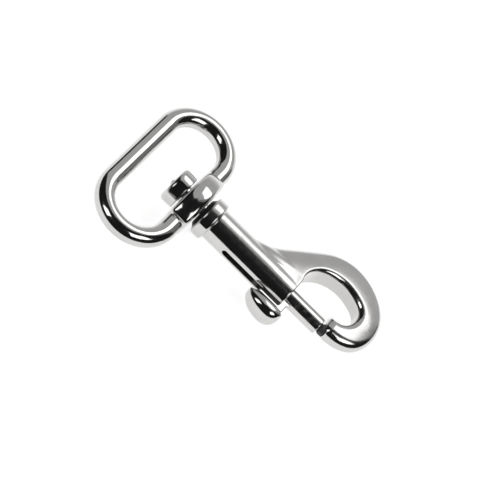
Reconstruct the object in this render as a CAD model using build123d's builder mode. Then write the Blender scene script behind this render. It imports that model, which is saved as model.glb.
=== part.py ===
"""Swivel bolt snap with an oval strap eye, lying flat.

+X runs along the barrel from the eye to the hook, +Y points to the hook's bow,
+Z is up. The origin is under the middle of the snap, on the surface it lies on.
"""
import os
from math import cos, pi, sin

from build123d import *

# Strap eye
strap_width = 38.0  # clear width for the strap, along Y
eye_depth = 13.5  # clear depth behind the strap, along X
wire_d = 5.3
boss_t = 5.7  # along X
boss_r = 7.0
boss_half_width = 9.2
boss_end_h = 6.2  # height of the boss where the wire leaves it
boss_shift = 0.15  # the boss stands this much nearer the barrel than the wire
boss_round = 0.9
boss_end_round = 1.2

# Swivel stud
shank_d = 4.9
head_d = 10.1
head_t = 4.2
head_round = 1.0
nub_d = 1.6
nub_t = 0.25
spigot_len = 4.0
swivel_clearance = 0.06
head_gap = 0.45
tail_gap = 0.3

# Barrel
land_t = 0.9
land_d = 7.4  # at the boss
land_root_d = 9.4  # where the land's cone meets the collar
collar_t = 3.4
collar_d = 11.6
collar_round = 0.9
barrel_len = 26.4  # from the collar to the mouth
barrel_d = 9.2
bore_d = 5.0
slot_w = 1.8
slot_len = 20.0  # from the mouth back to the slot's round end

# Hook, measured from the mouth along X and from the barrel's axis along Y
hook_len = 24.2
hook_reach = 22.1
gate_gap = 11.8  # from the mouth to the nose
nose_slant = 0.8  # the nose's outer corner stands this far behind its inner one
nose_d = 5.7
nose_y = 1.2
crown_w = 8.8
crown_t = 7.2
bow_w = 7.1
bow_t = 6.5
thin_edge = 0.5  # height of the crown's outer edge, as a share of its inner edge
section_points = 24

# Bolt
bolt_clearance = 0.07
tip_d = 3.2
tip_len = 2.0
tip_chamfer = 0.4
tip_clearance = 0.15
shoulder_gap = 0.6  # the bolt's shoulder stops this far short of the nose
shoulder_chamfer = 0.3
bolt_tail = 1.5  # length of bolt behind the lever
tail_spigot_d = 2.9
tail_spigot_len = 3.0
tail_chamfer = 0.3

# Thumb lever
lever_clearance = 0.1
stop_clearance = 0.15
lever_len = 9.0
lever_overhang = 1.55  # the lever's front face stands this far past the mouth
mortise_depth = 1.4
knob_len = 10.9
knob_overhang = 0.75  # the knob's front stands this far past the lever
knob_depth = 5.1  # along Y
knob_height = 6.9  # along Z
knob_gap = 1.6  # from the barrel to the knob
knob_peak = 0.64  # where the knob is fullest, as a share of its length from the rear
knob_lean = 0.5  # how far the knob's ends lean in towards the barrel
knob_fullness = 2.4
knob_sections = 14

# Spring
spring_wire_d = 0.42
spring_mean_d = 3.6
spring_turns = 9
seat_clearance = 0.02

# Worked out from the sizes above
axis_z = boss_r
bend_r = (eye_depth + wire_d) / 2
straight_half = (strap_width - eye_depth) / 2
boss_offset = wire_d / 2 + 2 * bend_r + boss_shift
barrel_total = tail_gap + land_t + collar_t + barrel_len
overall_length = boss_offset + boss_t / 2 + barrel_total + hook_len

eye_end_x = -overall_length / 2
eye_centre_x = eye_end_x + wire_d / 2 + bend_r
boss_x = eye_end_x + boss_offset
boss_back_x = boss_x - boss_t / 2
head_x = boss_back_x - head_gap
tail_x = boss_x + boss_t / 2 + tail_gap
collar_x = tail_x + land_t
barrel_x = collar_x + collar_t
mouth_x = barrel_x + barrel_len
nose_x = mouth_x + gate_gap

bolt_d = bore_d - 2 * bolt_clearance
shoulder_x = nose_x - shoulder_gap
slot_back_x = mouth_x - slot_len
lever_front_x = mouth_x + lever_overhang
lever_back_x = lever_front_x - lever_len
bolt_back_x = lever_back_x - bolt_tail
spring_seat_x = tail_x + spigot_len
lever_t = slot_w - 2 * lever_clearance
knob_inner_y = -(barrel_d / 2 + knob_gap)
knob_front_x = lever_front_x + knob_overhang
bolt_travel = lever_back_x - slot_back_x - stop_clearance

flat = Plane.XY.offset(axis_z)
upright = Plane(origin=(0, 0, axis_z), x_dir=(1, 0, 0), z_dir=(0, -1, 0))
barrel_axis = Axis((0, 0, axis_z), (1, 0, 0))


def across(x, y=0.0):
    """Plane across the barrel at x: its own x runs along Y, its own y is up."""
    return Plane(origin=(x, y, axis_z), x_dir=(0, 1, 0), z_dir=(1, 0, 0))


def half_profile(*corners):
    """A half profile of (x, radius) corners, to turn about the barrel's axis."""
    with BuildSketch(upright) as profile:
        with BuildLine():
            Polyline(*corners, close=True)
        make_face()
    return profile.sketch


def rims_at(part, x, tolerance=0.01):
    """The round edges that stand across the barrel at x."""
    return part.edges().filter_by(GeomType.CIRCLE).filter_by_position(Axis.X, x - tolerance, x + tolerance)


def make_swivel_eye():
    """The cast oval loop, with the round boss that turns on the stud."""
    bar_x = eye_centre_x + bend_r
    outer_x = eye_centre_x - bend_r
    with BuildPart() as swivel_eye:
        with BuildSketch(across(boss_back_x)):
            Circle(boss_r)
            Rectangle(2 * boss_half_width, boss_end_h)
            make_hull()
        extrude(amount=boss_t)
        boss_ends = swivel_eye.edges().filter_by(Axis.X).group_by(Axis.Y)
        fillet(boss_ends[0] + boss_ends[-1], boss_end_round)
        fillet(swivel_eye.faces().filter_by(Axis.X).edges(), boss_round)
        with BuildLine(flat) as loop:
            Line((bar_x, -straight_half), (bar_x, straight_half))
            CenterArc((eye_centre_x, straight_half), bend_r, 0, 180)
            Line((outer_x, straight_half), (outer_x, -straight_half))
            CenterArc((eye_centre_x, -straight_half), bend_r, 180, 180)
        with BuildSketch(Plane(origin=(bar_x, -straight_half, axis_z), z_dir=(0, 1, 0))):
            Circle(wire_d / 2)
        sweep(path=loop.wires()[0])
        with BuildSketch(across(boss_x)):
            Circle(shank_d / 2 + swivel_clearance)
        extrude(amount=(boss_t + wire_d) / 2, both=True, mode=Mode.SUBTRACT)
    swivel_eye.part.label = "swivel_eye"
    export_step(swivel_eye.part, "parts/swivel_eye.step")


def make_swivel_stud():
    """The headed stud: its shank carries the boss and its spigot plugs the barrel."""
    head_end_x = head_x - head_t
    with BuildPart() as swivel_stud:
        profile = half_profile(
            (head_end_x, 0),
            (head_end_x, head_d / 2),
            (head_x, head_d / 2),
            (head_x, shank_d / 2),
            (tail_x, shank_d / 2),
            (tail_x, bore_d / 2),
            (spring_seat_x, bore_d / 2),
            (spring_seat_x, 0),
        )
        revolve(profile, axis=barrel_axis)
        fillet(rims_at(swivel_stud, head_end_x), head_round)
        fillet(rims_at(swivel_stud, head_x).sort_by(SortBy.RADIUS)[-1], head_round / 3)
        with BuildSketch(across(head_end_x - nub_t)):
            Circle(nub_d / 2)
        extrude(amount=2 * nub_t)
        fillet(rims_at(swivel_stud, head_end_x - nub_t), nub_t / 2)
    swivel_stud.part.label = "swivel_stud"
    export_step(swivel_stud.part, "parts/swivel_stud.step")


def hook_stations():
    """Sections of the hook from inside the barrel round to the nose.

    Each is the inner and the outer edge in plan, the thickness at the inner
    edge, the outer edge's share of it, and how square the section is.
    """

    def place(along, reach):
        return along * hook_len, reach * hook_reach

    bow_in = 1 - bow_w / hook_len
    crown_in = 1 - crown_w / hook_reach
    bow_y = 0.37
    root_t = 0.93 * barrel_d
    nose_inner = (gate_gap, nose_y + nose_d / 2)
    nose_outer = (gate_gap + nose_slant, nose_y - nose_d / 2)
    throat_inner = (gate_gap + 0.32 * nose_d, nose_y + 0.54 * nose_d)
    throat_outer = (gate_gap + 0.44 * nose_d, nose_y - 0.47 * nose_d)
    return [
        (place(-0.01, -0.08), place(-0.73, -0.03), 0.84 * barrel_d, 0.9, 2.4),
        (place(-0.02, 0.07), place(-0.52, 0.235), root_t, 0.6, 2.4),
        (place(-0.025, 0.235), place(-0.315, 0.49), 0.97 * root_t, thin_edge, 2.5),
        (place(0.03, 0.4), place(-0.125, 0.7), 0.9 * root_t, thin_edge, 2.7),
        (place(0.18, 0.55), place(0.08, 0.915), 1.05 * crown_t, thin_edge, 2.8),
        (place(0.41, crown_in), place(0.39, 1), crown_t, thin_edge, 2.8),
        (place(0.555, 0.565), place(0.715, 0.91), 0.98 * crown_t, 0.55, 2.6),
        (place(0.67, 0.49), place(0.935, 0.68), 0.93 * crown_t, 0.7, 2.4),
        (place(bow_in, bow_y), place(1, bow_y), bow_t, 0.85, 2.3),
        (place(0.67, 0.26), place(0.91, 0.085), 0.96 * bow_t, 0.9, 2.2),
        (place(0.62, 0.21), place(0.73, -0.04), 0.93 * bow_t, 1.0, 2.1),
        (throat_inner, throat_outer, 1.02 * nose_d, 1.0, 2.0),
        (nose_inner, nose_outer, nose_d, 1.0, 2.0),
    ]


def section_outline(width, thickness, edge, square):
    """Points round a section: thick and upright inside, thinner towards the outer edge."""
    outline = []
    for i in range(section_points):
        turn = 2 * pi * i / section_points
        across_share = abs(cos(turn)) ** (2 / square) * (1 if cos(turn) > 0 else -1)
        up_share = abs(sin(turn)) ** (2 / square) * (1 if sin(turn) > 0 else -1)
        taper = 1 + (edge - 1) * (1 + across_share) / 2
        outline.append((across_share * width / 2, up_share * taper * thickness / 2))
    return outline


def make_hook_body():
    """The cast barrel and hook, in one piece."""
    with BuildPart() as hook_body:
        for inner, outer, thickness, edge, square in hook_stations():
            start = Vector(mouth_x + inner[0], inner[1], axis_z)
            end = Vector(mouth_x + outer[0], outer[1], axis_z)
            section = Plane(
                origin=(start + end) / 2,
                x_dir=end - start,
                z_dir=(end - start).cross(Vector(0, 0, 1)),
            )
            with BuildSketch(section):
                with BuildLine():
                    outline = section_outline((end - start).length, thickness, edge, square)
                    half = section_points // 2
                    Spline(*outline[: half + 1], tangents=[(0, 1), (0, -1)])
                    Spline(*outline[half:], outline[0], tangents=[(0, -1), (0, 1)])
                make_face()
        loft()
        profile = half_profile(
            (tail_x, 0),
            (tail_x, land_d / 2),
            (collar_x, land_root_d / 2),
            (collar_x, collar_d / 2),
            (barrel_x, collar_d / 2),
            (barrel_x, barrel_d / 2),
            (mouth_x, barrel_d / 2),
            (mouth_x, 0),
        )
        revolve(profile, axis=barrel_axis)
        for x in (collar_x, barrel_x):
            fillet(rims_at(hook_body, x).sort_by(SortBy.RADIUS)[-1], collar_round)
        with BuildSketch(across(tail_x)):
            Circle(bore_d / 2)
        extrude(amount=shoulder_x - tail_x, mode=Mode.SUBTRACT)
        with BuildSketch(upright):
            with Locations((slot_back_x + slot_w / 2, 0)):
                Circle(slot_w / 2)
                Rectangle(slot_len, slot_w, align=(Align.MIN, Align.CENTER))
        extrude(amount=barrel_d, mode=Mode.SUBTRACT)
        with BuildSketch(across(shoulder_x)):
            Circle(tip_d / 2 + tip_clearance)
        extrude(amount=tip_len + tip_clearance, mode=Mode.SUBTRACT)
    hook_body.part.label = "hook_body"
    export_step(hook_body.part, "parts/hook_body.step")


def make_bolt():
    """The sliding bolt, with a mortise for the lever and a spigot for the spring."""
    tip_end_x = shoulder_x + tip_len
    tail_end_x = bolt_back_x - tail_spigot_len
    with BuildPart() as bolt:
        profile = half_profile(
            (tail_end_x, 0),
            (tail_end_x, tail_spigot_d / 2),
            (bolt_back_x, tail_spigot_d / 2),
            (bolt_back_x, bolt_d / 2),
            (shoulder_x, bolt_d / 2),
            (shoulder_x, tip_d / 2),
            (tip_end_x, tip_d / 2),
            (tip_end_x, 0),
        )
        revolve(profile, axis=barrel_axis)
        chamfer(rims_at(bolt, tip_end_x), tip_chamfer)
        chamfer(rims_at(bolt, tail_end_x), tail_chamfer)
        chamfer(rims_at(bolt, bolt_back_x).sort_by(SortBy.RADIUS)[-1], tail_chamfer)
        fillet(rims_at(bolt, shoulder_x).sort_by(SortBy.RADIUS)[-1], shoulder_chamfer)
        with BuildSketch(across(lever_back_x, -bolt_d / 2)):
            Rectangle(2 * mortise_depth, lever_t)
        extrude(amount=lever_len, mode=Mode.SUBTRACT)
    bolt.part.label = "bolt"
    export_step(bolt.part, "parts/bolt.step")


def make_thumb_lever():
    """The blade that stands in the bolt's mortise and the knob that the thumb pulls."""
    peak_x = knob_front_x - (1 - knob_peak) * knob_len
    blade_root_y = -bolt_d / 2 + mortise_depth
    blade_end_y = knob_inner_y - knob_depth / 3
    with BuildPart() as thumb_lever:
        for i in range(knob_sections):
            along = -cos(pi * (i + 0.5) / knob_sections)
            size = (1 - abs(along) ** knob_fullness) ** (1 / knob_fullness)
            reach = (1 - knob_peak) if along > 0 else knob_peak
            centre_y = knob_inner_y - knob_depth / 2 * (1 - knob_lean * (1 - size))
            with BuildSketch(across(peak_x + along * reach * knob_len, centre_y)):
                Ellipse(size * knob_depth / 2, size * knob_height / 2)
        loft()
        with BuildSketch(upright.offset(-blade_root_y)):
            with Locations((lever_back_x + lever_t / 2, 0)):
                Circle(lever_t / 2)
                Rectangle(lever_len - lever_t / 2, lever_t, align=(Align.MIN, Align.CENTER))
        extrude(amount=blade_root_y - blade_end_y)
    thumb_lever.part.label = "thumb_lever"
    export_step(thumb_lever.part, "parts/thumb_lever.step")


def make_spring():
    """The coil spring that pushes the bolt shut."""
    inset = spring_wire_d / 2 + seat_clearance
    coil_len = bolt_back_x - spring_seat_x - 2 * inset
    with BuildPart() as spring:
        with BuildLine() as coil:
            Helix(
                pitch=coil_len / spring_turns,
                height=coil_len,
                radius=spring_mean_d / 2,
                center=(spring_seat_x + inset, 0, axis_z),
                direction=(1, 0, 0),
            )
        with BuildSketch(Plane(origin=coil.line @ 0, z_dir=coil.line % 0)):
            Circle(spring_wire_d / 2)
        sweep(path=coil.line, is_frenet=True)
    spring.part.label = "spring"
    export_step(spring.part, "parts/spring.step")


def main():
    os.makedirs("parts", exist_ok=True)
    make_swivel_eye()
    make_swivel_stud()
    make_hook_body()
    make_bolt()
    make_thumb_lever()
    make_spring()
    print(f"overall length {overall_length:.2f}, bolt travel {bolt_travel:.2f}")


if __name__ == "__main__":
    main()
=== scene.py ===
"""Swivel bolt snap with an oval strap eye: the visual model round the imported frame.

Everything is in metres in the scene and in millimetres inside the shape code.
+X runs along the barrel from the eye to the hook, +Y to the hook's bow, +Z up.
"""
from math import cos, pi, radians, sin

import bpy
import numpy as np
from bpy.props import FloatProperty, FloatVectorProperty, PointerProperty
from mathutils import Matrix, Vector


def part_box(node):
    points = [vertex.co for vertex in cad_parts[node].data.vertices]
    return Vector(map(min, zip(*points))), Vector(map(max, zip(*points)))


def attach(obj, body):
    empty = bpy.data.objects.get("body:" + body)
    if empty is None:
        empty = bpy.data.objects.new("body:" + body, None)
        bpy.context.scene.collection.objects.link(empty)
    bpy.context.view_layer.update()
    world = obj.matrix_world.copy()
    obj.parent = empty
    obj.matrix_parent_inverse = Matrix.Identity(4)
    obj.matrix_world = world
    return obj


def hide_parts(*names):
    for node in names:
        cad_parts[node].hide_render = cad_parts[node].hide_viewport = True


bl_info = {
    "name": "Swivel bolt snap",
    "version": (1, 0, 0),
    "blender": (4, 5, 0),
    "location": "View3D > Sidebar > Bolt snap",
    "description": "Builds a plated swivel bolt snap and its studio",
    "category": "Object",
}

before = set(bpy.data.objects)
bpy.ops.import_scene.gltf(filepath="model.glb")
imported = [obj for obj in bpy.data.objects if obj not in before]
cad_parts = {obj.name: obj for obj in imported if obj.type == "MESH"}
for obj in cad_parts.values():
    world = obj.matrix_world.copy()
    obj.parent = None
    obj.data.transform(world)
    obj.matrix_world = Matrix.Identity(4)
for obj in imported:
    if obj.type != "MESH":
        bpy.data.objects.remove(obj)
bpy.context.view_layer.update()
MM = 0.001


def low(node):
    """A CAD node's lowest corner in millimetres."""
    return np.array(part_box(node)[0]) / MM


def high(node):
    """A CAD node's highest corner in millimetres."""
    return np.array(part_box(node)[1]) / MM


# Places that come from the frame
AXIS_Z = float((low("bolt")[2] + high("bolt")[2]) / 2)
EYE_BACK = float(low("swivel_eye")[0])
BOSS_FRONT = float(high("swivel_eye")[0])
TAIL = float(low("hook_body")[0])
HOOK_END = float(high("hook_body")[0])
KNOB_FRONT = float(high("thumb_lever")[0])
BOLT_BACK = float(low("bolt")[0])
BOLT_END = float(high("bolt")[0])
STUD_BACK = float(low("swivel_stud")[0])
STUD_END = float(high("swivel_stud")[0])
KNOB_OVERHANG = 0.75  # the knob's front stands this far past the blade


class HookSizes(bpy.types.PropertyGroup):
    """Sizes of the cast hook and its barrel, in millimetres."""

    barrel: FloatProperty(name="Barrel", description="Outside diameter of the barrel", default=9.2, min=6)
    bore: FloatProperty(name="Bore", description="Diameter of the bolt's bore", default=5.0, min=3)
    collar: FloatProperty(name="Collar", description="Diameter of the collar", default=11.6, min=8)
    collar_width: FloatProperty(name="Collar width", description="Width of the collar", default=3.4, min=1)
    land: FloatProperty(
        name="Land", description="Width of the plain land behind the collar", default=0.9, min=0,
    )
    land_front: FloatProperty(
        name="Land front", description="Diameter of the land at the boss", default=7.4, min=6,
    )
    land_root: FloatProperty(
        name="Land root", description="Diameter of the land at the collar", default=9.4, min=6,
    )
    length: FloatProperty(
        name="Hook length", description="From the barrel's mouth to the bow", default=24.2, min=10,
    )
    slot: FloatProperty(name="Slot", description="Width of the lever's slot", default=1.8, min=1)
    slot_length: FloatProperty(
        name="Slot length", description="Length of the lever's slot", default=20.0, min=5,
    )
    blend: FloatProperty(
        name="Blend", description="Radius between the web and the barrel", default=2.2, min=0.1,
    )
    grain: FloatProperty(name="Mesh step", description="Spacing of the mesh", default=0.22, min=0.1)


class EyeSizes(bpy.types.PropertyGroup):
    """Sizes of the strap eye, in millimetres."""

    wire: FloatProperty(name="Wire", description="Diameter of the loop's wire", default=5.3, min=2)
    depth: FloatProperty(name="Depth", description="Clear depth behind the strap", default=13.5, min=4)
    width: FloatProperty(name="Strap width", description="Clear width for the strap", default=38.0, min=10)
    boss: FloatProperty(name="Boss radius", description="Radius of the boss", default=7.0, min=3)
    boss_width: FloatProperty(name="Boss thickness", description="Thickness of the boss", default=5.7, min=2)
    boss_reach: FloatProperty(
        name="Boss reach", description="Half the boss's length across", default=9.2, min=7,
    )
    boss_end: FloatProperty(
        name="Boss end", description="Half the boss's height at its ends", default=3.1, min=1,
    )
    hole: FloatProperty(name="Hole", description="Diameter of the swivel hole", default=5.02, min=2)


class LeverSizes(bpy.types.PropertyGroup):
    """Sizes of the thumb lever, in millimetres."""

    blade: FloatProperty(name="Blade", description="Thickness of the blade", default=1.6, min=0.5)
    length: FloatProperty(name="Length", description="Length of the blade", default=9.0, min=3)
    knob_length: FloatProperty(name="Knob length", description="Length of the knob", default=10.9, min=4)
    knob_depth: FloatProperty(name="Knob depth", description="Depth of the knob", default=5.1, min=2)
    knob_height: FloatProperty(name="Knob height", description="Height of the knob", default=6.9, min=2)


class BoltSizes(bpy.types.PropertyGroup):
    """Sizes of the sliding bolt, in millimetres."""

    body: FloatProperty(name="Body", description="Diameter of the bolt", default=4.86, min=2)
    tip: FloatProperty(name="Tip", description="Diameter of the tip", default=3.2, min=1)
    tip_length: FloatProperty(name="Tip length", description="Length of the tip", default=2.0, min=0.5)
    groove: FloatProperty(name="Groove", description="Diameter of the groove's floor", default=2.4, min=1)
    tail: FloatProperty(name="Tail", description="Diameter of the spring's spigot", default=2.9, min=1)
    tail_length: FloatProperty(name="Tail length", description="Length of the spigot", default=3.0, min=1)
    mortise: FloatProperty(name="Mortise", description="Width of the lever's mortise", default=1.6, min=0.5)
    mortise_floor: FloatProperty(
        name="Mortise floor", description="From the bolt's axis to the mortise's floor", default=1.03, min=0,
    )


class StudSizes(bpy.types.PropertyGroup):
    """Sizes of the swivel stud, in millimetres."""

    head: FloatProperty(name="Head", description="Diameter of the head", default=10.1, min=6)
    head_length: FloatProperty(name="Head thickness", description="Thickness of the head", default=4.2, min=1)
    nub: FloatProperty(name="Nub", description="Diameter of the nub on the head", default=1.6, min=0.5)
    nub_length: FloatProperty(name="Nub height", description="How far the nub stands up", default=0.25, min=0)
    shank: FloatProperty(name="Shank", description="Diameter of the shank", default=4.9, min=2)
    spigot: FloatProperty(name="Spigot", description="Diameter of the spigot", default=4.98, min=2)
    spigot_length: FloatProperty(
        name="Spigot length", description="Length of the spigot in the barrel", default=4.0, min=1,
    )


class PlateFinish(bpy.types.PropertyGroup):
    """The bright plate."""

    colour: FloatVectorProperty(
        name="Plate", description="Colour of the plate", subtype="COLOR", size=3, min=0, max=1,
        default=(0.63, 0.625, 0.615),
    )
    steel: FloatVectorProperty(
        name="Spring wire", description="Colour of the spring wire", subtype="COLOR", size=3, min=0, max=1,
        default=(0.42, 0.42, 0.43),
    )
    polish: FloatProperty(
        name="Roughness", description="Roughness of the bright plate", default=0.07, min=0, max=1,
    )


class StudioLook(bpy.types.PropertyGroup):
    """Light round the object."""

    soft_box: FloatProperty(name="Soft box", description="Strength of the soft box", default=2.3, min=0)
    window: FloatProperty(name="Windows", description="Strength of the two windows", default=2.3, min=0)
    wall: FloatProperty(name="Grey wall", description="Strength of the grey wall", default=0.5, min=0)
    room: FloatProperty(name="Room", description="Strength of the dark room", default=0.014, min=0)
    floor: FloatProperty(
        name="Floor", description="Strength of the floor's own white", default=0.75, min=0, max=1,
    )


# Shape tools: a shape is a function that is negative inside it

def meet(a, b, radius):
    """The part that two shapes share, with its edge rounded."""
    corner = np.hypot(np.maximum(radius + a, 0), np.maximum(radius + b, 0))
    return np.minimum(-radius, np.maximum(a, b)) + corner


def join(a, b, radius):
    """Two shapes in one, with a fillet between them."""
    return -meet(-a, -b, radius)


def rod(x, y, z, start, end, radius, edge):
    """A round bar along the barrel's axis, with rounded rims."""
    side = np.hypot(y, z) - radius
    ends = np.maximum(start - x, x - end)
    return meet(side, ends, edge)


def smooth_curve(points, count):
    """Points on a natural cubic curve through the given points."""
    points = np.array(points, float)
    reach = np.r_[0, np.cumsum(np.linalg.norm(np.diff(points, axis=0), axis=1) ** 0.75)]
    gap = np.diff(reach)
    n = len(points)
    system = np.eye(n)
    right = np.zeros_like(points)
    for i in range(1, n - 1):
        system[i, i - 1 : i + 2] = gap[i - 1], 2 * (gap[i - 1] + gap[i]), gap[i]
        right[i] = 6 * ((points[i + 1] - points[i]) / gap[i] - (points[i] - points[i - 1]) / gap[i - 1])
    bend = np.linalg.solve(system, right)
    at = np.linspace(0, reach[-1], count)
    i = np.clip(np.searchsorted(reach, at, side="right") - 1, 0, n - 2)
    width = gap[i][:, None]
    a = (reach[i + 1] - at)[:, None] / width
    b = 1 - a
    return (
        a * points[i] + b * points[i + 1]
        + ((a**3 - a) * bend[i] + (b**3 - b) * bend[i + 1]) * width**2 / 6
    )


def outline_distance(x, y, outline):
    """Distance from a closed outline in plan, negative inside it."""
    x, y = np.broadcast_arrays(x, y)
    shape = x.shape
    flat = np.stack([x.ravel(), y.ravel()], -1)
    result = np.empty(len(flat))
    start = outline
    run = np.roll(outline, -1, axis=0) - outline
    length2 = (run**2).sum(1)
    keep = length2 > 1e-12
    start, run, length2 = start[keep], run[keep], length2[keep]
    end_y = start[:, 1] + run[:, 1]
    block = 8192
    for first in range(0, len(flat), block):
        px = flat[first : first + block, :1]
        py = flat[first : first + block, 1:]
        dx = px - start[:, 0]
        dy = py - start[:, 1]
        along = np.clip((dx * run[:, 0] + dy * run[:, 1]) / length2, 0, 1)
        near = ((dx - along * run[:, 0]) ** 2 + (dy - along * run[:, 1]) ** 2).min(1)
        crosses = (start[:, 1] > py) != (end_y > py)
        left_of = dx * run[:, 1] - dy * run[:, 0]
        hits = crosses & ((left_of < 0) == (run[:, 1] > 0))
        inside = hits.sum(1) % 2 == 1
        result[first : first + block] = np.where(inside, -1, 1) * np.sqrt(near)
    return result.reshape(shape)


def slope_of(shape, place):
    """Value and gradient of a shape at places."""
    nudge = 0.02
    corners = np.array([(1, 1, 1), (1, -1, -1), (-1, 1, -1), (-1, -1, 1)], float)
    value = 0
    slope = 0
    for corner in corners:
        moved = place + nudge * corner
        here = shape(moved[:, 0], moved[:, 1], moved[:, 2])
        value = value + here / 4
        slope = slope + here[:, None] * corner / (4 * nudge)
    return value, slope


def skin(shape, start, end, step):
    """Even four-sided faces over a shape's surface, and the surface's normals."""
    axes = [np.arange(a - 1.5 * step, b + 2.5 * step, step) for a, b in zip(start, end)]
    value = shape(axes[0][:, None, None], axes[1][None, :, None], axes[2][None, None, :])
    value = np.broadcast_to(value, [len(a) for a in axes])
    inside = value < 0
    nx, ny, nz = (len(a) - 1 for a in axes)
    total = np.zeros((nx, ny, nz, 3))
    count = np.zeros((nx, ny, nz))
    span = [slice(0, nx), slice(0, ny), slice(0, nz)]
    for axis in range(3):
        others = [i for i in range(3) if i != axis]
        for shift_a in (0, 1):
            for shift_b in (0, 1):
                offset = [0, 0, 0]
                offset[others[0]] = shift_a
                offset[others[1]] = shift_b
                here = tuple(slice(offset[i], offset[i] + (nx, ny, nz)[i]) for i in range(3))
                offset[axis] = 1
                there = tuple(slice(offset[i], offset[i] + (nx, ny, nz)[i]) for i in range(3))
                crossing = inside[here] != inside[there]
                gap = np.where(crossing, value[here] - value[there], 1)
                share = np.where(crossing, value[here] / gap, 0)
                offset[axis] = 0
                for i in range(3):
                    total[..., i] += np.where(crossing, share if i == axis else offset[i], 0)
                count += crossing
    live = count > 0
    number = np.full(live.shape, -1)
    number[live] = np.arange(live.sum())
    base = np.stack(np.meshgrid(axes[0][:-1], axes[1][:-1], axes[2][:-1], indexing="ij"), -1)[live]
    place = base + step * total[live] / count[live][:, None]
    for _ in range(3):
        here, slope = slope_of(shape, place)
        move = -here[:, None] * slope / np.maximum((slope**2).sum(1), 0.05)[:, None]
        place = place + np.clip(move, -step / 2, step / 2)
    faces = []
    for axis in range(3):
        first, second = [(1, 2), (2, 0), (0, 1)][axis]
        near = [slice(1, n) for n in (nx, ny, nz)]
        far = list(near)
        near[axis] = slice(0, (nx, ny, nz)[axis])
        far[axis] = slice(1, (nx, ny, nz)[axis] + 1)
        a, b = inside[tuple(near)], inside[tuple(far)]
        cells = np.argwhere(a != b) + [0 if i == axis else 1 for i in range(3)]
        leaves = a[a != b]
        ring = []
        for back_a, back_b in ((1, 1), (0, 1), (0, 0), (1, 0)):
            cell = cells.copy()
            cell[:, first] -= back_a
            cell[:, second] -= back_b
            ring.append(number[cell[:, 0], cell[:, 1], cell[:, 2]])
        ring = np.stack(ring, 1)
        ring[~leaves] = ring[~leaves][:, ::-1]
        faces.append(ring)
    slope = slope_of(shape, place)[1]
    normal = slope / np.maximum(np.linalg.norm(slope, axis=1), 1e-9)[:, None]
    return place, np.concatenate(faces), normal


def make_piece(name, body, node, shape, finish, step):
    """Turn a shape into a piece that stands for a CAD node."""
    start, end = low(node), high(node)
    centre = np.array((0, 0, AXIS_Z))
    place, faces, normal = skin(shape, start - centre, end - centre, step)
    if len(place) == 0 or faces.min() < 0:
        raise RuntimeError(f"{name}: the shape has no closed surface")
    place = np.clip(place + centre, start, end)
    mesh = bpy.data.meshes.new(name)
    mesh.from_pydata((place * MM).tolist(), [], faces.tolist())
    mesh.shade_smooth()
    mesh.normals_split_custom_set_from_vertices(normal.tolist())
    piece = bpy.data.objects.new(name, mesh)
    bpy.context.scene.collection.objects.link(piece)
    mesh.materials.append(finish)
    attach(piece, body)
    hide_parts(node)
    return piece


# Hook

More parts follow.
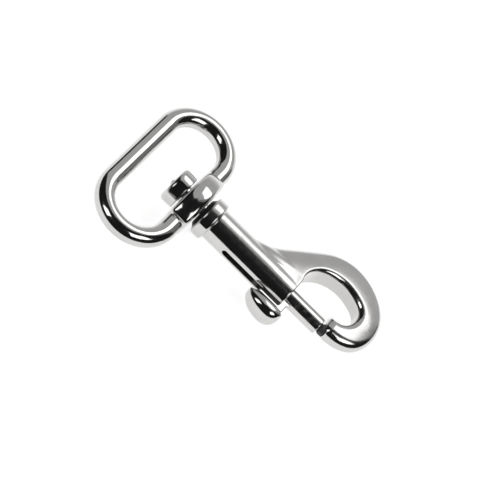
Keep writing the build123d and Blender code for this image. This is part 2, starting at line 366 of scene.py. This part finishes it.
def hook_shape(sizes):
    """Barrel, collar, web, hook and nose in one shape, with the cuts made.

    The outlines are in plan: along the barrel from its mouth, and across it from its axis.
    """
    mouth = HOOK_END - sizes.length
    radius = sizes.barrel / 2
    collar_start = TAIL + sizes.land
    collar_end = collar_start + sizes.collar_width
    outer = smooth_curve(
        [(-20.5, 1.0), (-17.6, 3.2), (-12.6, 6.3), (-7.6, 10.9), (-3.0, 15.5), (2.2, 20.0), (9.2, 22.1),
         (17.3, 20.1), (22.6, 15.0), (24.2, 8.2), (22.1, 1.9), (17.7, -0.9), (14.3, -1.5), (11.0, -1.7)], 150,
    )
    outer = np.vstack([outer, [(4.0, -2.0), (2.0, -4.0), (-20.5, -4.0)]])
    inner = smooth_curve(
        [(0.0, 2.5), (-0.1, 3.8), (-0.4, 5.4), (0.7, 8.8), (4.4, 12.1), (9.9, 13.3), (13.4, 12.5),
         (16.2, 10.9), (17.1, 8.2), (16.2, 5.7), (15.0, 4.7), (13.6, 4.3), (12.25, 4.1)], 130,
    )
    nose_corner = [(11.95, 4.0), (11.81, 3.75), (11.82, 3.4)]
    inner = np.vstack([inner, nose_corner, [(12.1, -1.7), (12.4, -8.0), (0.0, -8.0)]])
    opening_x, opening_y = 9.0, 7.0
    shoulder = mouth + 11.2  # where the bolt's shoulder stops
    socket_end = mouth + 13.35
    socket_radius = 1.75
    least_blend = 0.15  # between web and barrel at the ridge
    cut_edge = 0.18
    land_slope = np.arctan2((sizes.land_root - sizes.land_front) / 2, sizes.land)
    # angle round the opening in degrees, and at each: half the height inside and outside,
    # the inner edge's radius, and how full the surface is between the two
    turn = [-180, -150, -110, -60, -30, 8, 50, 90, 135, 165, 180]
    inner_half = [4.6, 4.6, 4.0, 2.86, 2.95, 3.3, 3.5, 3.6, 3.9, 4.35, 4.6]
    outer_half = [1.7, 2.1, 2.8, 2.85, 2.5, 1.6, 1.5, 1.75, 1.9, 1.9, 1.7]
    inner_edge = [0.5, 0.35, 0.5, 2.75, 2.6, 2.1, 1.9, 1.8, 1.8, 1.2, 0.5]
    fullness = [1.75, 1.75, 2.0, 2.0, 2.0, 2.0, 1.9, 1.7, 1.75, 1.75, 1.75]
    fine = np.linspace(-180, 180, 181)
    tracks = [np.convolve(np.pad(np.interp(fine, turn, t), 12, mode="wrap"), np.ones(25) / 25, "valid")
              for t in (inner_half, outer_half, inner_edge, fullness)]

    def shape(x, y, z):
        along = x - mouth
        from_outer = outline_distance(along, y, outer)
        from_inner = outline_distance(along, y, inner)
        angle = np.degrees(np.arctan2(y - opening_y, along - opening_x))
        inner_h, outer_h, edge, full = (np.interp(angle, fine, t) for t in tracks)
        depth = np.maximum(-from_outer, 0)
        rise = np.clip((y - 2.0) / 3.0, 0, 1)
        blend = least_blend + (sizes.blend - least_blend) * rise * rise * (3 - 2 * rise)
        wall = np.maximum(from_inner, 0)
        ridge = np.hypot(np.maximum(y, 0), 6 * np.maximum(along, 0))
        core = wall * ridge / np.maximum(np.hypot(wall, ridge), 1e-6)
        width = np.maximum(depth + core, 1e-6)
        drop = inner_h - outer_h
        share = depth / width
        half = outer_h + drop * share * (full - (full - 1) * share)
        under = np.sqrt(np.maximum(radius**2 - y**2, 0)) - 0.05 * np.clip(-y, 0, 1)
        half = np.where((y < 0.8) & (along < 3), np.minimum(half, under), half)
        slab = meet(np.abs(z) - half, from_outer, outer_h * 0.97)
        barrel = np.maximum(np.hypot(y, z) - radius, np.maximum(TAIL - x, along - 4))
        solid = join(slab, barrel, blend)
        cone = np.interp(x, (TAIL, collar_start), (sizes.land_front / 2, sizes.land_root / 2))
        beyond = (np.hypot(y, z) - cone) * cos(land_slope)
        solid = np.where(x < collar_start, np.maximum(solid, beyond), solid)
        solid = np.maximum(solid, TAIL - x)
        solid = meet(solid, -from_inner, edge)
        collar = rod(x, y, z, collar_start, collar_end, sizes.collar / 2, 0.6)
        solid = join(solid, collar, 0.25)
        bore = rod(x, y, z, TAIL - 5, shoulder, sizes.bore / 2, 0.1)
        slot_end = mouth - sizes.slot_length + sizes.slot / 2
        slot = np.maximum(np.hypot(np.minimum(x - slot_end, 0), z) - sizes.slot / 2, y)
        slot = np.maximum(slot, along - 3)
        socket = rod(x, y, z, shoulder - 0.2, socket_end, socket_radius, 0.1)
        cuts = np.minimum(np.minimum(bore, socket), slot)
        return meet(solid, -cuts, cut_edge)

    return shape


class SNAP_OT_hook(bpy.types.Operator):
    """Build the cast barrel and hook"""

    bl_idname = "snap.hook"
    bl_label = "Hook and barrel"

    def execute(self, context):
        sizes = context.scene.snap_hook
        finish = plate("hook_plate", context.scene.snap_finish, satin=0.04, flanks=0.13)
        shape = hook_shape(sizes)
        piece = make_piece("cast_hook", "hook", "hook_body", shape, finish, sizes.grain)
        # Painted shade: the land behind the collar gets a dark material for the deep shadow in the gap
        # between the boss and the collar.
        piece.data.materials.append(painted_shade_steel("painted_shade_land", context.scene.snap_finish))
        collar = (TAIL + sizes.land) * MM
        for face in piece.data.polygons:
            face.material_index = int(face.center.x < collar)
        return {"FINISHED"}


# Eye

def eye_shape(sizes):
    """The oval loop and its boss in one shape."""
    bend = (sizes.depth + sizes.wire) / 2
    straight = (sizes.width - sizes.depth) / 2
    centre = EYE_BACK + sizes.wire / 2 + bend
    boss_centre = BOSS_FRONT - sizes.boss_width / 2
    square = 1.8  # how square the boss is in end view; 2 would be an ellipse
    reach = sizes.boss_reach / (1 - (sizes.boss_end / sizes.boss) ** square) ** (1 / square)
    side = np.linspace(-sizes.boss_reach, sizes.boss_reach, 121)
    height = sizes.boss * (1 - np.abs(side / reach) ** square) ** (1 / square)
    top = np.stack([side[::-1], height[::-1]], -1)
    outline = np.vstack([top, -top])
    crowning = 0.45
    end_edge, rim_edge, root_fillet, hole_edge = 0.8, 1.0, 0.45, 0.25

    def shape(x, y, z):
        beyond = np.maximum(np.abs(y) - straight, 0)
        across = np.abs(np.hypot(x - centre, beyond) - bend)
        loop = np.hypot(across, z) - sizes.wire / 2
        crown = crowning * ((x - boss_centre) / sizes.boss_width * 2) ** 2
        face = outline_distance(y, z, outline) + crown
        ends = np.abs(y) - sizes.boss_reach
        rims = np.abs(x - boss_centre) - sizes.boss_width / 2
        boss = meet(meet(face, ends, end_edge), rims, rim_edge)
        solid = join(loop, boss, root_fillet)
        hole = np.maximum(np.hypot(y, z) - sizes.hole / 2, centre - x)
        return meet(solid, -hole, hole_edge)

    return shape


class SNAP_OT_eye(bpy.types.Operator):
    """Build the strap eye and its boss"""

    bl_idname = "snap.eye"
    bl_label = "Strap eye"

    def execute(self, context):
        finish = plate("eye_plate", context.scene.snap_finish, satin=0.03)
        shape = eye_shape(context.scene.snap_eye)
        make_piece("strap_eye", "eye", "swivel_eye", shape, finish, 0.24)
        return {"FINISHED"}


# Lever

def lever_shape(sizes):
    """The blade and the knob in one shape."""
    front_share = 0.36  # of the knob's length, ahead of its fullest place
    peak = KNOB_FRONT - front_share * sizes.knob_length
    blade_front = KNOB_FRONT - KNOB_OVERHANG
    blade_back = blade_front - sizes.length
    knob_top = -6.2  # the knob's side towards the barrel
    square = 2.2
    foot_radius = 0.9
    foot_y = -3.3
    half_depth = sizes.knob_depth / 2
    root = float(high("thumb_lever")[1])

    def shape(x, y, z):
        ahead = x > peak
        along = np.abs(x - peak) / np.where(ahead, front_share, 1 - front_share) / sizes.knob_length
        left = np.maximum(1 - along ** np.where(ahead, 2.2, 2.0), 0)
        size = left ** np.where(ahead, 0.35, 0.42)
        past = np.maximum(along - 1, 0) * 3
        middle = knob_top - half_depth * (0.2 + 0.8 * size)
        deep = np.abs((y - middle) / half_depth) ** square
        tall = np.abs(z / (sizes.knob_height / 2)) ** square
        round_by = (deep + tall) ** (1 / square)
        knob = (round_by - size + past) * half_depth * 0.8
        back = blade_back + 0.02 + 0.45 * np.clip(y + 7.0, 0, 4.4) - x
        ends = meet(back, x - blade_front, 0.3)
        blade = meet(np.abs(z) - sizes.blade / 2, ends, 0.35)
        foot_front = blade_front + foot_radius
        foot = meet(x - foot_front, np.abs(z) - sizes.blade / 2, 0.2)
        foot = np.maximum(foot, foot_radius - np.hypot(x - foot_front, y - foot_y))
        foot = np.maximum(foot, np.maximum(foot_y - y, blade_front - 1 - x))
        blade = np.minimum(blade, foot)
        blade = np.maximum(blade, np.maximum(y - root, knob_top - 1.5 - y))
        return join(knob, blade, 0.7)

    return shape


class SNAP_OT_lever(bpy.types.Operator):
    """Build the thumb lever"""

    bl_idname = "snap.lever"
    bl_label = "Thumb lever"

    def execute(self, context):
        finish = plate("lever_plate", context.scene.snap_finish, satin=0.02)
        shape = lever_shape(context.scene.snap_lever)
        make_piece("thumb_knob", "bolt", "thumb_lever", shape, finish, 0.18)
        return {"FINISHED"}


# Bolt

def bolt_shape(sizes, blade_length):
    """The bolt with its tip, the groove behind it, the mortise and the tail."""
    shoulder = BOLT_END - sizes.tip_length
    body_back = BOLT_BACK + sizes.tail_length
    blade_front = KNOB_FRONT - KNOB_OVERHANG
    blade_back = blade_front - blade_length
    groove_at = shoulder + 0.3

    def shape(x, y, z):
        body = rod(x, y, z, body_back, shoulder, sizes.body / 2, 0.3)
        tip = rod(x, y, z, shoulder - 1, BOLT_END, sizes.tip / 2, 0.4)
        groove = (np.hypot(y, z) - sizes.groove / 2 - np.abs(x - groove_at)) * 0.7
        tail = rod(x, y, z, BOLT_BACK, body_back + 1, sizes.tail / 2, 0.3)
        solid = np.minimum(np.minimum(body, np.maximum(tip, groove)), tail)
        mortise_ends = np.maximum(blade_back - x, x - blade_front)
        mortise = np.maximum(np.abs(z) - sizes.mortise / 2, np.maximum(y + sizes.mortise_floor, mortise_ends))
        return meet(solid, -mortise, 0.05)

    return shape


class SNAP_OT_bolt(bpy.types.Operator):
    """Build the sliding bolt"""

    bl_idname = "snap.bolt"
    bl_label = "Bolt"

    def execute(self, context):
        sizes = context.scene.snap_bolt
        finish = plate("bolt_plate", context.scene.snap_finish, satin=0.16)
        shape = bolt_shape(sizes, context.scene.snap_lever.length)
        piece = make_piece("sliding_bolt", "bolt", "bolt", shape, finish, 0.16)
        # Painted shade: the tip past the shoulder gets a dark material for the shadow in the recess between
        # the bolt's shoulder and the hook's nose.
        piece.data.materials.append(painted_shade_steel("painted_shade_tip", context.scene.snap_finish))
        painted_shade_from = (BOLT_END - sizes.tip_length + 0.05) * MM
        for face in piece.data.polygons:
            face.material_index = int(face.center.x > painted_shade_from)
        return {"FINISHED"}


# Stud

def stud_shape(sizes):
    """The stud's head with its nub, its shank and its spigot."""
    head_back = STUD_BACK + sizes.nub_length
    head_front = head_back + sizes.head_length
    head_middle = (head_back + head_front) / 2
    head_radius = sizes.head / 2
    spigot_back = STUD_END - sizes.spigot_length

    def shape(x, y, z):
        crown = 0.1 * ((x - head_middle) / (sizes.head_length / 2)) ** 2
        dome = 0.2 * (np.hypot(y, z) / head_radius) ** 2
        head = meet(np.hypot(y, z) - head_radius + crown, head_back - x + dome, 0.9)
        head = meet(head, x - head_front, 0.3)
        nub = rod(x, y, z, STUD_BACK, head_front - 1, sizes.nub / 2, 0.12)
        shank = rod(x, y, z, head_front - 1, STUD_END - 1, sizes.shank / 2, 0.1)
        spigot = rod(x, y, z, spigot_back, STUD_END, sizes.spigot / 2, 0.15)
        return np.minimum(join(head, nub, 0.15), np.minimum(shank, spigot))

    return shape


class SNAP_OT_stud(bpy.types.Operator):
    """Build the swivel stud"""

    bl_idname = "snap.stud"
    bl_label = "Swivel stud"

    def execute(self, context):
        finish = plate("stud_plate", context.scene.snap_finish, satin=0.03)
        shape = stud_shape(context.scene.snap_stud)
        make_piece("headed_stud", "hook", "swivel_stud", shape, finish, 0.2)
        return {"FINISHED"}


class SNAP_OT_spring(bpy.types.Operator):
    """Finish the spring"""

    bl_idname = "snap.spring"
    bl_label = "Spring"

    def execute(self, context):
        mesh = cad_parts["spring"].data
        mesh.materials.clear()
        mesh.materials.append(wire("spring_wire", context.scene.snap_finish))
        return {"FINISHED"}


# Finishes

def new_material(name):
    """An empty node material and its shader."""
    material = bpy.data.materials.new(name)
    material.use_nodes = True
    tree = material.node_tree
    return material, tree, tree.nodes["Principled BSDF"]


def noise(tree, scale, detail=3.0):
    """Noise over the piece's own coordinates, in features per metre."""
    place = tree.nodes.new("ShaderNodeTexCoord")
    node = tree.nodes.new("ShaderNodeTexNoise")
    node.inputs["Scale"].default_value = scale
    node.inputs["Detail"].default_value = detail
    tree.links.new(place.outputs["Object"], node.inputs["Vector"])
    return node.outputs["Fac"]


def spread(tree, value, low_value, high_value):
    """Stretch a noise value to a range."""
    node = tree.nodes.new("ShaderNodeMapRange")
    node.inputs["From Min"].default_value = 0.3
    node.inputs["From Max"].default_value = 0.7
    node.inputs["To Min"].default_value = low_value
    node.inputs["To Max"].default_value = high_value
    tree.links.new(value, node.inputs["Value"])
    return node.outputs["Result"]


def plate(name, look, satin, flanks=0.0):
    """Bright plate on a casting, with faint waviness, and satin flanks where it was brushed."""
    material, tree, shader = new_material(name)
    shader.inputs["Metallic"].default_value = 1.0
    tint = tree.nodes.new("ShaderNodeMixRGB")
    tint.inputs["Color1"].default_value = (*look.colour, 1)
    tint.inputs["Color2"].default_value = (*(0.93 * c for c in look.colour), 1)
    tree.links.new(spread(tree, noise(tree, 180), 0, 1), tint.inputs["Fac"])
    tree.links.new(tint.outputs["Color"], shader.inputs["Base Color"])
    rough = spread(tree, noise(tree, 700, 6), look.polish, look.polish + satin + 0.03)
    if flanks:
        place = tree.nodes.new("ShaderNodeTexCoord")
        parts = tree.nodes.new("ShaderNodeSeparateXYZ")
        tree.links.new(place.outputs["Normal"], parts.inputs["Vector"])
        level = tree.nodes.new("ShaderNodeMath")
        level.operation = "ABSOLUTE"
        tree.links.new(parts.outputs["Z"], level.inputs[0])
        brushed = tree.nodes.new("ShaderNodeMapRange")
        brushed.inputs["From Min"].default_value = 0.75
        brushed.inputs["From Max"].default_value = 0.97
        brushed.inputs["To Max"].default_value = flanks
        tree.links.new(level.outputs[0], brushed.inputs["Value"])
        total = tree.nodes.new("ShaderNodeMath")
        tree.links.new(rough, total.inputs[0])
        tree.links.new(brushed.outputs["Result"], total.inputs[1])
        rough = total.outputs[0]
    tree.links.new(rough, shader.inputs["Roughness"])
    bump = tree.nodes.new("ShaderNodeBump")
    bump.inputs["Distance"].default_value = 0.00002
    bump.inputs["Strength"].default_value = 0.6
    tree.links.new(noise(tree, 900, 4), bump.inputs["Height"])
    tree.links.new(bump.outputs["Normal"], shader.inputs["Normal"])
    return material


def painted_shade_steel(name, look):
    """Dark steel colour, mottled, that paints the shade in the recesses between parts."""
    material, tree, shader = new_material(name)
    shader.inputs["Metallic"].default_value = 0.6
    tint = tree.nodes.new("ShaderNodeMixRGB")
    tint.inputs["Color1"].default_value = (*(0.12 * c for c in look.steel), 1)
    tint.inputs["Color2"].default_value = (*(0.3 * c for c in look.steel), 1)
    tree.links.new(spread(tree, noise(tree, 2500), 0, 1), tint.inputs["Fac"])
    tree.links.new(tint.outputs["Color"], shader.inputs["Base Color"])
    tree.links.new(spread(tree, noise(tree, 3000), 0.35, 0.55), shader.inputs["Roughness"])
    return material


def wire(name, look):
    """Drawn spring wire."""
    material, tree, shader = new_material(name)
    shader.inputs["Metallic"].default_value = 1.0
    tint = tree.nodes.new("ShaderNodeMixRGB")
    tint.inputs["Color1"].default_value = (*look.steel, 1)
    tint.inputs["Color2"].default_value = (*(0.7 * c for c in look.steel), 1)
    tree.links.new(spread(tree, noise(tree, 1500), 0, 1), tint.inputs["Fac"])
    tree.links.new(tint.outputs["Color"], shader.inputs["Base Color"])
    tree.links.new(spread(tree, noise(tree, 4000), 0.25, 0.4), shader.inputs["Roughness"])
    return material


# Stage

def lit(name, strength, at_floor=None):
    """A material that only glows, brighter towards the floor if told to."""
    material = bpy.data.materials.new(name)
    material.use_nodes = True
    tree = material.node_tree
    tree.nodes.clear()
    glow = tree.nodes.new("ShaderNodeEmission")
    glow.inputs["Strength"].default_value = strength
    if at_floor is not None:
        place = tree.nodes.new("ShaderNodeTexCoord")
        parts = tree.nodes.new("ShaderNodeSeparateXYZ")
        fade = tree.nodes.new("ShaderNodeMapRange")
        fade.interpolation_type = "SMOOTHSTEP"
        fade.inputs["From Max"].default_value = 0.5
        fade.inputs["To Min"].default_value = at_floor
        fade.inputs["To Max"].default_value = strength
        tree.links.new(place.outputs["Object"], parts.inputs["Vector"])
        tree.links.new(parts.outputs["Z"], fade.inputs["Value"])
        tree.links.new(fade.outputs["Result"], glow.inputs["Strength"])
    out = tree.nodes.new("ShaderNodeOutputMaterial")
    tree.links.new(glow.outputs["Emission"], out.inputs["Surface"])
    return material


def dome_patch(name, azimuths, elevations, radius, material):
    """A patch of a dome round the object; azimuth runs from +Y towards +X."""
    across = np.linspace(*azimuths, 33)
    up = np.linspace(*elevations, 17)
    points = []
    for e in up:
        for a in across:
            points.append((
                radius * sin(radians(a)) * cos(radians(e)),
                radius * cos(radians(a)) * cos(radians(e)),
                radius * sin(radians(e)) + AXIS_Z * MM,
            ))
    n = len(across)
    faces = [
        (i * n + j, i * n + j + 1, (i + 1) * n + j + 1, (i + 1) * n + j)
        for i in range(len(up) - 1) for j in range(n - 1)
    ]
    mesh = bpy.data.meshes.new(name)
    mesh.from_pydata(points, [], faces)
    mesh.materials.append(material)
    patch = bpy.data.objects.new(name, mesh)
    bpy.context.scene.collection.objects.link(patch)
    patch.visible_camera = False
    patch.visible_shadow = False


def sees_white(tree):
    """One for rays that should see the white background."""
    path = tree.nodes.new("ShaderNodeLightPath")
    first = tree.nodes.new("ShaderNodeMath")
    first.operation = "MAXIMUM"
    tree.links.new(path.outputs["Is Camera Ray"], first.inputs[0])
    tree.links.new(path.outputs["Is Glossy Ray"], first.inputs[1])
    second = tree.nodes.new("ShaderNodeMath")
    second.operation = "MAXIMUM"
    tree.links.new(first.outputs[0], second.inputs[0])
    tree.links.new(path.outputs["Is Transmission Ray"], second.inputs[1])
    return second.outputs[0]


def make_floor(look):
    """A pale floor that stays white and keeps the object's shadow."""
    material = bpy.data.materials.new("floor_white")
    material.use_nodes = True
    tree = material.node_tree
    tree.nodes.clear()
    paint = tree.nodes.new("ShaderNodeBsdfDiffuse")
    paint.inputs["Color"].default_value = (0.8, 0.8, 0.8, 1)
    glow = tree.nodes.new("ShaderNodeEmission")
    both = tree.nodes.new("ShaderNodeAddShader")
    scale = tree.nodes.new("ShaderNodeMath")
    scale.operation = "MULTIPLY"
    scale.inputs[1].default_value = look.floor
    tree.links.new(sees_white(tree), scale.inputs[0])
    tree.links.new(scale.outputs[0], glow.inputs["Strength"])
    tree.links.new(paint.outputs["BSDF"], both.inputs[0])
    tree.links.new(glow.outputs["Emission"], both.inputs[1])
    out = tree.nodes.new("ShaderNodeOutputMaterial")
    tree.links.new(both.outputs["Shader"], out.inputs["Surface"])
    size = 1.3
    mesh = bpy.data.meshes.new("floor")
    corners = [(-size, -size, 0), (size, -size, 0), (size, size, 0), (-size, size, 0)]
    mesh.from_pydata(corners, [], [(0, 1, 2, 3)])
    mesh.materials.append(material)
    floor = bpy.data.objects.new("floor", mesh)
    bpy.context.scene.collection.objects.link(floor)


def make_world():
    """White behind everything."""
    world = bpy.data.worlds.new("studio")
    bpy.context.scene.world = world
    world.use_nodes = True
    tree = world.node_tree
    tree.links.new(sees_white(tree), tree.nodes["Background"].inputs["Strength"])
    tree.nodes["Background"].inputs["Color"].default_value = (1, 1, 1, 1)


def make_camera():
    """Look down on the snap from the knob's side."""
    elevation, turn, roll = radians(52), radians(-3.68), radians(47.63)
    back = Vector((sin(turn) * cos(elevation), -cos(turn) * cos(elevation), sin(elevation)))
    right = Vector((cos(turn), sin(turn), 0))
    up = back.cross(right)
    aim = Vector((0.425, 0, AXIS_Z)) * MM
    lift, distance = 1.592 * MM, 538.3 * MM
    camera = bpy.data.objects.new("camera", bpy.data.cameras.new("camera"))
    bpy.context.scene.collection.objects.link(camera)
    image_right = cos(roll) * right + sin(roll) * up
    image_up = -sin(roll) * right + cos(roll) * up
    turned = Matrix((image_right, image_up, back)).transposed().to_4x4()
    camera.matrix_world = Matrix.Translation(aim + up * lift + back * distance) @ turned
    camera.data.sensor_width = 36
    camera.data.lens = 151.92
    camera.data.clip_start = 0.01
    camera.data.clip_end = 10
    bpy.context.scene.camera = camera


class SNAP_OT_stage(bpy.types.Operator):
    """Set the floor, the lights and the camera"""

    bl_idname = "snap.stage"
    bl_label = "Studio"

    def execute(self, context):
        look = context.scene.snap_studio
        make_floor(look)
        make_world()
        dome_patch("dark_room", (-180, 180), (-1, 90), 1.7, lit("room_dark", look.room))
        grey = lit("wall_grey", look.wall, at_floor=1.6 * look.wall)
        dome_patch("grey_wall", (-49, 37), (-1, 82), 1.6, grey)
        dome_patch("grey_wall_left", (-62, -49), (18, 82), 1.6, grey)
        dome_patch("grey_wall_right", (37, 56), (8, 82), 1.6, lit("wall_right", 0.45 * look.wall))
        dome_patch("soft_box", (-7, 36), (38, 66), 1.5, lit("soft_box_white", look.soft_box))
        dome_patch("left_window", (-150, -126), (27, 57), 1.5, lit("left_window_white", look.window))
        dome_patch("right_window", (95, 144), (36, 62), 1.5, lit("right_window_white", look.window))
        make_camera()
        context.scene.view_settings.view_transform = "Standard"
        return {"FINISHED"}


class SNAP_PT_pieces(bpy.types.Panel):
    """The snap's pieces and its studio"""

    bl_label = "Bolt snap"
    bl_idname = "SNAP_PT_pieces"
    bl_space_type = "VIEW_3D"
    bl_region_type = "UI"
    bl_category = "Bolt snap"

    def draw(self, context):
        column = self.layout.column()
        for operator in OPERATORS:
            column.operator(operator.bl_idname)
        for name, group in GROUPS.items():
            for setting in group.__annotations__:
                column.prop(getattr(context.scene, name), setting)


GROUPS = {
    "snap_hook": HookSizes,
    "snap_eye": EyeSizes,
    "snap_lever": LeverSizes,
    "snap_bolt": BoltSizes,
    "snap_stud": StudSizes,
    "snap_finish": PlateFinish,
    "snap_studio": StudioLook,
}
OPERATORS = (
    SNAP_OT_stage, SNAP_OT_hook, SNAP_OT_eye, SNAP_OT_lever, SNAP_OT_bolt, SNAP_OT_stud, SNAP_OT_spring,
)
CLASSES = (*GROUPS.values(), *OPERATORS, SNAP_PT_pieces)


def register():
    for cls in CLASSES:
        bpy.utils.register_class(cls)
    for name, group in GROUPS.items():
        setattr(bpy.types.Scene, name, PointerProperty(type=group))


def unregister():
    for name in GROUPS:
        delattr(bpy.types.Scene, name)
    for cls in reversed(CLASSES):
        bpy.utils.unregister_class(cls)


def main():
    """Build everything."""
    register()
    bpy.ops.snap.stage()
    bpy.ops.snap.hook()
    bpy.ops.snap.eye()
    bpy.ops.snap.lever()
    bpy.ops.snap.bolt()
    bpy.ops.snap.stud()
    bpy.ops.snap.spring()


if __name__ == "__main__":
    main()
